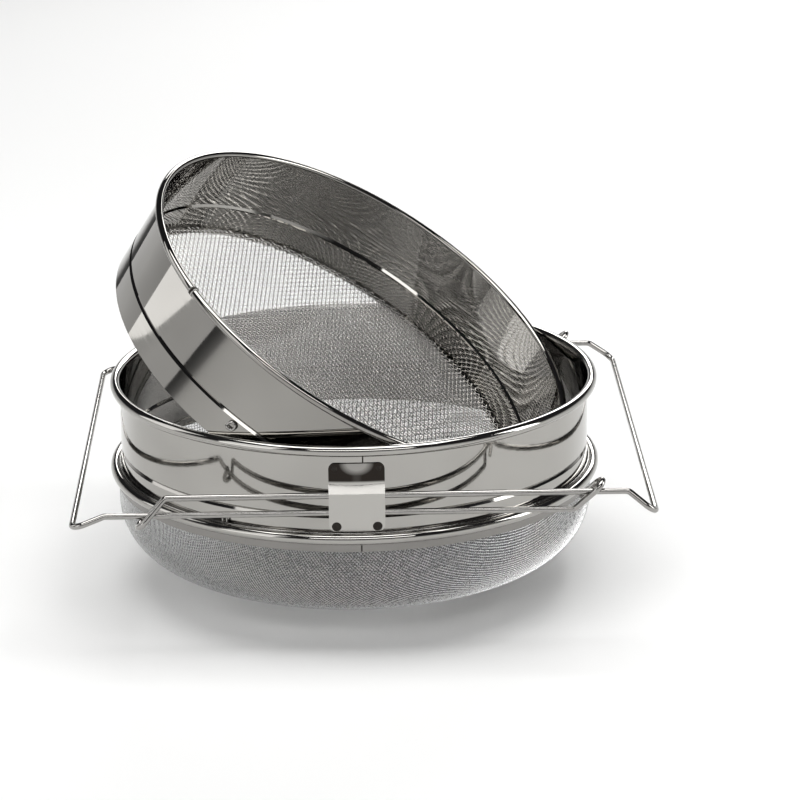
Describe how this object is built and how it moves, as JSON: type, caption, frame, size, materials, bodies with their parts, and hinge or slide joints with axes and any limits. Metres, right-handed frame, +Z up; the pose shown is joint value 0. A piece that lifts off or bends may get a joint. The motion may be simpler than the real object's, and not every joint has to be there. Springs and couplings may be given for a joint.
{
  "type": "double sieve strainer",
  "caption": "Double honey strainer: a fine dished sieve, a frame ring with sliding hooked arms and a coarse sieve leaning in the ring.",
  "frame": {"origin": "Centre of the small flat at the bottom of the fine sieve, on the surface it stands on.", "axes": "+Z is up. The arms slide along X, +X being the side of the right arm, and the front bracket faces -Y."},
  "size_m": [0.2793, 0.2506, 0.2072],
  "materials": {
    "polished_sheet": "polished",
    "drawn_wire": "gloss",
    "fine_cloth": "satin",
    "coarse_cloth": "satin"
  },
  "bodies": {
    "fine_sieve": {"fine_rim": "polished_sheet", "fine_rim_wire": "drawn_wire", "fine_mesh_bowl": "fine_cloth", "fine_mesh_band": "polished_sheet", "fine_clip_wire": "drawn_wire"},
    "frame_ring": {"ring_wall": "polished_sheet", "ring_rim_wire": "drawn_wire", "front_bracket": "polished_sheet", "back_bracket": "polished_sheet"},
    "coarse_sieve": {"coarse_wall": "polished_sheet", "coarse_rim_wire": "drawn_wire", "coarse_mesh": "coarse_cloth", "coarse_catch_wire": "drawn_wire"},
    "left_arm": {"left_arm": "drawn_wire"},
    "right_arm": {"right_arm": "drawn_wire"}
  },
  "joints": [
    {"name": "frame_ring_lift", "type": "slide", "parent": "fine_sieve", "child": "frame_ring", "axis": [0, 0, 1], "range_m": [0, 0.06]},
    {"name": "coarse_sieve_lift", "type": "slide", "parent": "frame_ring", "child": "coarse_sieve", "axis": [0, 0, 1], "range_m": [0, 0.09]},
    {"name": "left_arm_slide", "type": "slide", "parent": "frame_ring", "child": "left_arm", "axis": [-1, 0, 0], "range_m": [-0.003, 0.074]},
    {"name": "right_arm_slide", "type": "slide", "parent": "frame_ring", "child": "right_arm", "axis": [1, 0, 0], "range_m": [-0.003, 0.062]}
  ]
}
